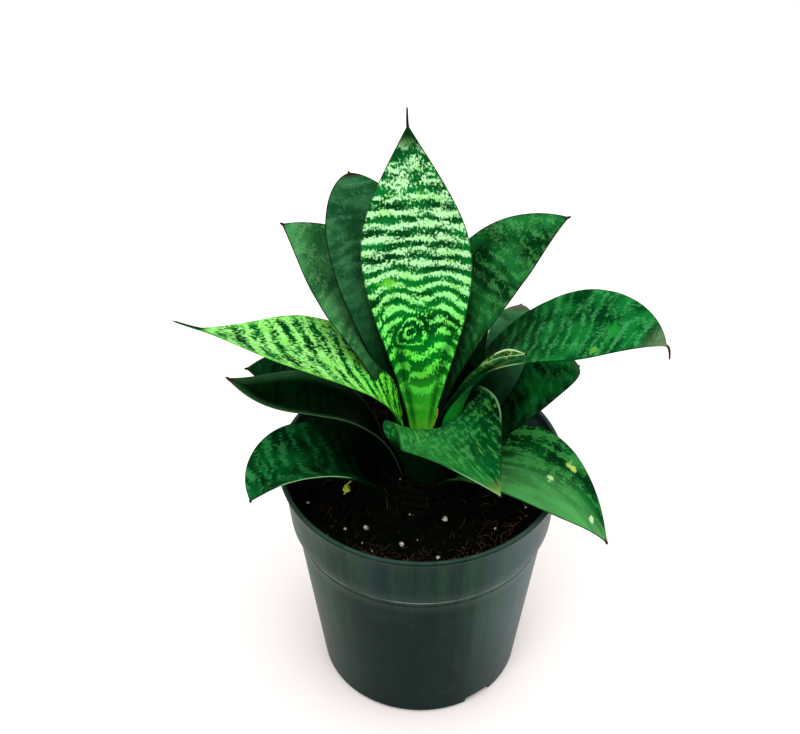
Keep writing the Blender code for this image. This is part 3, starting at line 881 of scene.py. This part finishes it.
def perliteMaterial():
    material, wire, shader = newMaterial("perliteGrain")
    spot = wire.spot()
    pits = wire.noise(spot, 1400.0, 4.0, 0.7)
    tone = wire.attribute("tone", "Fac")
    colour = pits.smooth(0.3, 0.6).tint(paint(80, 80, 68), paint(206, 204, 188))
    colour = (tone.smooth(0.05, 0.5) * 0.85).tint(colour, paint(48, 46, 38))
    plug(shader, Base_Color=colour, Roughness=pits.toward(0.8, 1.0),
         Normal=bump(wire, pits, 0.3, 0.8))
    return material


def fibreMaterial(name, dark, light):
    material, wire, shader = newMaterial(name)
    spot = wire.spot()
    tone = wire.attribute("tone", "Fac")
    stain = wire.noise(spot, 500.0, 3.0, 0.6)
    patch = wire.noise(spot, 160.0, 2.0)
    share = (tone * 0.6 + patch.smooth(0.4, 0.65) * 0.6).least(1.0)
    colour = share.tint(paint(*dark), paint(*light))
    colour = (stain.smooth(0.5, 0.7) * 0.5).tint(colour, paint(30, 18, 12))
    plug(shader, Base_Color=colour, Roughness=stain.toward(0.6, 0.9),
         Normal=bump(wire, stain, 0.1, 0.6))
    return material


# bits to the square metre, then millimetres; squash 1 is flat, and outer is the widest radius
scatterNames = ("density", "smallest", "largest", "squash", "sink", "rough", "outer")


def makeScatterTree(name, grain):
    # scatters one small shape over the faces that look up
    wire, given = newTree(name, scatterNames + ("seed",))
    up = wire.node("GeometryNodeInputNormal", {}, {}, "Normal").parts()[2].above(0.5)
    x, y, _ = wire.node("GeometryNodeInputPosition").parts()
    inside = 1 - ((x * x + y * y) ** 0.5).above(given["outer"] * mm)
    points = wire.node("GeometryNodeDistributePointsOnFaces", {"distribute_method": "RANDOM"}, {
        "Mesh": given["Geometry"], "Selection": up * inside, "Density": given["density"],
        "Seed": given["seed"]}, "Points")
    turn = wire.node("FunctionNodeRandomValue", {"data_type": "FLOAT_VECTOR"},
                     {0: (0.0, 0.0, 0.0), 1: (math.tau,) * 3, "Seed": 3})
    share = wire.node("FunctionNodeRandomValue", {"data_type": "FLOAT"},
                      {2: 0.0, 3: 1.0, "Seed": 7}, 1)
    size = (share ** 2.5).toward(given["smallest"], given["largest"]) * mm
    squash = wire.at(1.0, given["squash"].toward(1.0, 0.55), given["squash"].toward(1.0, 0.3))
    bits = wire.node("GeometryNodeInstanceOnPoints", {}, {
        "Points": points, "Instance": grain(wire), "Rotation": turn, "Scale": squash * size})
    tone = wire.node("FunctionNodeRandomValue", {"data_type": "FLOAT"},
                     {2: 0.0, 3: 1.0, "Seed": 11}, 1)
    bits = wire.node("GeometryNodeStoreNamedAttribute",
                     {"data_type": "FLOAT", "domain": "INSTANCE"},
                     {"Geometry": bits, "Name": "tone", "Value": tone})
    solid = wire.node("GeometryNodeRealizeInstances", {}, {"Geometry": bits})
    where = wire.node("GeometryNodeInputPosition")
    pull = wire.node("ShaderNodeTexNoise", {}, {"Vector": where, "Scale": 900.0}, "Color")
    shift = (pull - (0.5, 0.5, 0.5)) * given["rough"] * mm - wire.at(0.0, 0.0, given["sink"] * mm)
    shaped = wire.node("GeometryNodeSetPosition", {}, {"Geometry": solid, "Offset": shift})
    endTree(wire, shaped, given["Finish"])
    return wire.tree


def crumbShape(wire):
    return wire.node("GeometryNodeMeshIcoSphere", {}, {"Radius": 1.0, "Subdivisions": 1}, "Mesh")


def grainShape(wire):
    return wire.node("GeometryNodeMeshIcoSphere", {}, {"Radius": 1.0, "Subdivisions": 2}, "Mesh")


def fibreShape(wire):
    path = wire.node("GeometryNodeCurveQuadraticBezier", {}, {
        "Resolution": 5, "Start": (-1.0, 0.0, 0.0), "Middle": (0.0, 0.75, 0.2),
        "End": (1.0, 0.0, 0.0)})
    ring = wire.node("GeometryNodeCurvePrimitiveCircle", {}, {"Resolution": 3, "Radius": 0.05})
    return wire.node("GeometryNodeCurveToMesh", {}, {
        "Curve": path, "Profile Curve": ring, "Fill Caps": True})


crownMake = {
    "steps": 120,
    "radius": 21.5,
    "foot": 71.1,
    "shoulder": 94.6,  # height where the straight side starts
    "side": 1.6,
    "rings": 8,  # old leaf scars
    "ridge": 0.05,  # their height
    "below": 1.0,  # how far the cone stays under the leaves' bases
}


def crownWobble(spot):
    rough = noise.fractal(spot * 0.3, 0.9, 2.1, 4) * 0.45
    return spot + Vector((spot.x, spot.y, 4.0)).normalized() * rough


def crownProfile(make):
    points = [(0.0, make["foot"]), (8.0, make["foot"]), (make["radius"], make["shoulder"]),
              (make["radius"], make["shoulder"] + make["side"])]
    count = make["rings"] * 6
    for step in range(count + 1):
        radius = make["radius"] * (1 - step / (count + 1))
        ring = (radius - stem["innerRing"]) / stem["ringStep"]
        height = stem["top"] - stem["ringDrop"] * ring - make["below"]
        ridge = make["ridge"] * math.sin(math.tau * step / 6)
        points.append((radius, height + ridge))
    return points + [(0.0, stem["top"])]


def crownMaterial():
    material, wire, shader = newMaterial("crownSkin", Specular_IOR_Level=0.05)
    spot = wire.spot()
    x, y, _ = (spot / mm).parts()
    radius = (x * x + y * y) ** 0.5
    stain = wire.noise(spot, 300.0, 4.0, 0.65)
    rings = (radius * 2.4 + stain * 3.0).sin() * 0.5 + 0.5
    # near black, as painted shade: the crown stands in the shadow under the leaves
    colour = rings.tint(paint(3, 6, 3), paint(10, 16, 6))
    colour = (stain.smooth(0.45, 0.7) * 0.6).tint(colour, paint(10, 8, 5))
    plug(shader, Base_Color=colour, Roughness=stain.toward(0.55, 0.85),
         Normal=bump(wire, rings + stain, 0.5, 0.8))
    return material


crown = newObject("rhizomeCrown", turned("rhizomeCrown", crownProfile(crownMake),
                                         crownMake["steps"], crownWobble))
crown.data.materials.append(crownMaterial())
place(crown, "rhizome_skin", "rhizome")
print("crown", len(crown.data.polygons))

soilSkin = soilMaterial()
perliteSkin = perliteMaterial()
soil = newObject("soilBody", turned("soilBody", soilProfile(soilMake), soilMake["steps"],
                                    soilWobble))
soil.data.materials.append(soilSkin)

# the ground that the bits are scattered over
bed = bmesh.new()
bed.from_mesh(soil.data)
bed.from_mesh(crown.data)
bedMesh = bpy.data.meshes.new("bed")
bed.to_mesh(bedMesh)
bed.free()
place(soil, "potting_mix", "soil")

# shape, finish, then the numbers in the order of scatterNames
scatters = {
    "soilCrumbs": (crumbShape, soilSkin, 380000.0, 0.35, 1.5, 0.4, 0.1, 0.5, 51.0),
    "barkChips": (crumbShape, soilSkin, 22000.0, 0.9, 3.0, 1.0, 0.2, 0.8, 49.0),
    "coirFibres": (fibreShape, fibreMaterial("coirFibre", (20, 9, 6), (96, 46, 26)),
                   30000.0, 1.2, 4.2, 0.0, -0.3, 0.8, 49.0),
    "perliteGrains": (grainShape, perliteSkin, 2500.0, 0.35, 1.1, 0.3, -0.2, 0.4, 50.0),
}
for number, (title, (shape, skin, *numbers)) in enumerate(scatters.items()):
    tree = makeScatterTree(title + " scatter", shape)
    values = dict(zip(scatterNames, numbers))
    values["seed"] = float(soilMake["seed"] + number)
    values["Finish"] = skin
    piece = grow(title, tree, values, bedMesh.copy())
    if shape is not crumbShape:
        piece.data.shade_smooth()
    place(piece, "potting_mix")
    print("scatter", title, len(piece.data.polygons))


# larger grains, fibres by the front of the rim, and fallen bits

looseMake = {
    "grains": ((5.8, -43.3, 0.75), (-7.5, -37.0, 0.95), (-21.0, -28.6, 1.0), (27.6, -28.8, 0.6),
               (8.8, -24.4, 1.1), (-9.2, -15.2, 0.45), (-43.3, -14.8, 0.6), (-28.8, -28.9, 0.6),
               (-22.3, -36.0, 0.4), (-18.6, -40.1, 0.4), (39.7, -17.6, 0.5), (12, 38, 0.9),
               (-30, 27, 0.8), (34, 22, 0.7), (-12, 44, 0.6)),  # x, y and radius
    "frontFibres": 360,
    "reach": 51.0,  # how near the wall they lie
    "bud": (-28.6, -9.2, 98.6),
    "huskFoot": (3.6, -2.4, 115.0),
    "seed": 21,
}
dice = random.Random(looseMake["seed"])


def strand(shape, points, radius, sides=4):
    # a closed thin tube along these points, tapered to both ends
    rings = []
    for number, spot in enumerate(points):
        before = points[max(number - 1, 0)]
        after = points[min(number + 1, len(points) - 1)]
        along = (after - before).normalized()
        side = along.cross(Vector((0.31, 0.2, 0.93))).normalized()
        up = along.cross(side)
        share = number / (len(points) - 1)
        size = radius * (0.35 + 0.65 * math.sin(math.pi * min(max(share, 0.12), 0.88)))
        rings.append([shape.verts.new((spot + (side * math.cos(math.tau * k / sides)
                      + up * math.sin(math.tau * k / sides)) * size) * mm) for k in range(sides)])
    bridge(shape, rings)
    shape.faces.new(rings[0])
    shape.faces.new(rings[-1])


def smoothPiece(name, shape, material):
    mesh = finishMesh(shape, bpy.data.meshes.new(name))
    mesh.shade_smooth()
    mesh.materials.append(material)
    return newObject(name, mesh)


def makeGrains(make):
    shape = bmesh.new()
    for x, y, radius in make["grains"]:
        made = bmesh.ops.create_icosphere(shape, subdivisions=3, radius=radius * mm)["verts"]
        top = soilHeight(math.hypot(x, y)) + 0.9
        for vertex in made:
            rough = noise.fractal(vertex.co * 900 + Vector((x, y, 0)), 0.8, 2.0, 3)
            vertex.co = (vertex.co * (1 + 0.32 * rough)) + Vector((x, y, top)) * mm
    return smoothPiece("largePerlite", shape, perliteSkin)


def makeFrontFibres(make):
    # most lie by the front of the rim, the rest towards the front right
    shape = bmesh.new()
    for _ in range(make["frontFibres"]):
        toRight = dice.random() < 0.3
        angle = math.radians(dice.gauss(-48, 14) if toRight else dice.gauss(-98, 19))
        radius = dice.triangular(30 if toRight else 37, 50.8, 49.5)
        centre = Vector((radius * math.cos(angle), radius * math.sin(angle),
                         soilHeight(radius) + dice.uniform(0.6, 1.6)))
        turn = dice.uniform(0, math.tau)
        along = Vector((math.cos(turn), math.sin(turn), dice.uniform(-0.25, 0.35)))
        bow = Vector((-math.sin(turn), math.cos(turn), dice.uniform(-0.2, 0.5)))
        half = dice.triangular(0.3, 2.2, 0.5)
        curve = dice.uniform(-0.7, 0.7) * half
        points = []
        for step in range(-3, 4):
            t = step / 3
            spot = centre + along * half * t + bow * curve * (1 - t * t)
            reach = math.hypot(spot.x, spot.y)
            if reach > make["reach"]:
                spot.x *= make["reach"] / reach
                spot.y *= make["reach"] / reach
            points.append(spot)
        strand(shape, points, dice.uniform(0.09, 0.22))
    return smoothPiece("rimFibres", shape, fibreMaterial("rimFibre", (52, 26, 16), (122, 72, 50)))


def makeFallenBud(make):
    # a shed yellow bud scale on its curved stalk
    centre = Vector(make["bud"])
    material, wire, shader = newMaterial("driedScale", Specular_IOR_Level=0.3)
    spot = wire.spot()
    x, y, _ = (spot / mm).parts()
    stain = wire.noise(spot, 900.0, 3.0, 0.6)
    colour = stain.smooth(0.35, 0.65).tint(paint(214, 216, 84), paint(160, 186, 60))
    colour = (x + y * 0.4).smooth(centre.x - 2.0, centre.x).tint(colour, paint(150, 88, 76))
    plug(shader, Base_Color=colour, Roughness=stain.toward(0.4, 0.7),
         Normal=bump(wire, stain, 0.2, 0.6))
    shape = bmesh.new()
    made = bmesh.ops.create_icosphere(shape, subdivisions=3, radius=1.0)["verts"]
    for vertex in made:
        x, y, z = vertex.co
        taper = 1 - 0.35 * y
        bent = Vector((x * 1.5 * taper, y * 2.1, z * 0.8 + 0.35 * y * y))
        vertex.co = (bent + centre) * mm
    path = [centre + Vector((6.4 * t, 1.8 + 4.4 * t, 0.2 + 1.6 * math.sin(2.6 * t)))
            for t in (0, 0.14, 0.28, 0.42, 0.56, 0.7, 0.85, 1.0)]
    strand(shape, path, 0.42, 8)
    strand(shape, [centre - Vector((0.1 + t, 1.8 + 0.8 * t, 0.1 + 0.4 * t))
                   for t in (0, 0.35, 0.7, 1.0)], 0.34, 8)
    return smoothPiece("fallenBud", shape, material)


def makeHusk(make):
    # a dry brown and yellow scale at the notch beside the tallest leaf
    foot = Vector(make["huskFoot"])
    material, wire, shader = newMaterial("driedHusk", Specular_IOR_Level=0.1)
    spot = wire.spot()
    x, _, z = (spot / mm).parts()
    stain = wire.noise(spot, 700.0, 4.0, 0.65)
    browned = (x - z * 0.09 + stain * 0.8).smooth(-5.3, -4.9)
    colour = browned.tint(paint(206, 210, 52), paint(140, 74, 30))
    colour = (stain.smooth(0.5, 0.7) * 0.6).tint(colour, paint(52, 30, 16))
    plug(shader, Base_Color=colour, Roughness=stain.toward(0.5, 0.8),
         Normal=bump(wire, stain, 0.3, 0.8))
    shape = bmesh.new()
    for side, width, top in ((0.0, 0.8, 130.0), (0.9, 0.55, 127.0), (1.5, 0.4, 123.5)):
        path = [foot + Vector((side + 2.6 * t, side * 0.3 + 4.2 * t, (top - foot.z) * t))
                for t in (0, 0.15, 0.3, 0.45, 0.6, 0.75, 0.9, 1.0)]
        strand(shape, path, width, 8)
    return smoothPiece("driedHusk", shape, material)


for make in (makeGrains, makeFrontFibres, makeFallenBud, makeHusk):
    piece = make(looseMake)
    place(piece, "potting_mix")
    print("loose", piece.name, len(piece.data.polygons))


# floor, light and camera

studio = {
    "floor": (251, 243, 241),
    "floorLight": (253, 246, 244),
    "floorSize": 60.0,
    "sky": (1.0, 0.985, 0.98, 1.0),
    "skyStrength": 0.8,
    "lights": (("key", (0.25, -0.3, 1.4), (0, 0, 0.12), 1.9, 10.0),
               ("fill", (-0.55, -1.0, 0.55), (0, 0, 0.14), 0.9, 5.0)),
    "lens": 81.0,
    "camera": (-0.0082, -0.4949, 0.5900),
    "tilt": 48.53,
}


def makeFloor():
    bpy.ops.mesh.primitive_plane_add(size=studio["floorSize"])
    floor = bpy.context.object
    floor.name = "paleFloor"
    material, wire, shader = newMaterial("paleFloor", Roughness=0.8, Specular_IOR_Level=0.2)
    spot = wire.spot()
    tone = wire.noise(spot, 6.0, 3.0)
    plug(shader, Base_Color=tone.tint(paint(*studio["floor"]), paint(*studio["floorLight"])))
    floor.data.materials.append(material)


def areaLight(name, spot, aim, size, power):
    light = bpy.data.lights.new(name, "AREA")
    light.shape = "DISK"
    light.size = size
    light.energy = power
    lamp = newObject(name, light)
    lamp.location = spot
    lamp.rotation_euler = (Vector(aim) - Vector(spot)).to_track_quat("-Z", "Y").to_euler()


def makeCamera():
    camera = newObject("camera", bpy.data.cameras.new("camera"))
    camera.location = studio["camera"]
    camera.rotation_euler = (math.radians(studio["tilt"]), 0.0, 0.0)
    camera.data.lens = studio["lens"]
    camera.data.sensor_width = 36.0
    bpy.context.scene.camera = camera


def makeSky():
    world = bpy.data.worlds.new("studio")
    bpy.context.scene.world = world
    world.use_nodes = True
    background = world.node_tree.nodes["Background"]
    background.inputs["Color"].default_value = studio["sky"]
    background.inputs["Strength"].default_value = studio["skyStrength"]


makeFloor()
for light in studio["lights"]:
    areaLight(*light)
makeCamera()
makeSky()
bpy.context.scene.view_settings.view_transform = "Standard"
bpy.context.scene.view_settings.look = "Medium High Contrast"
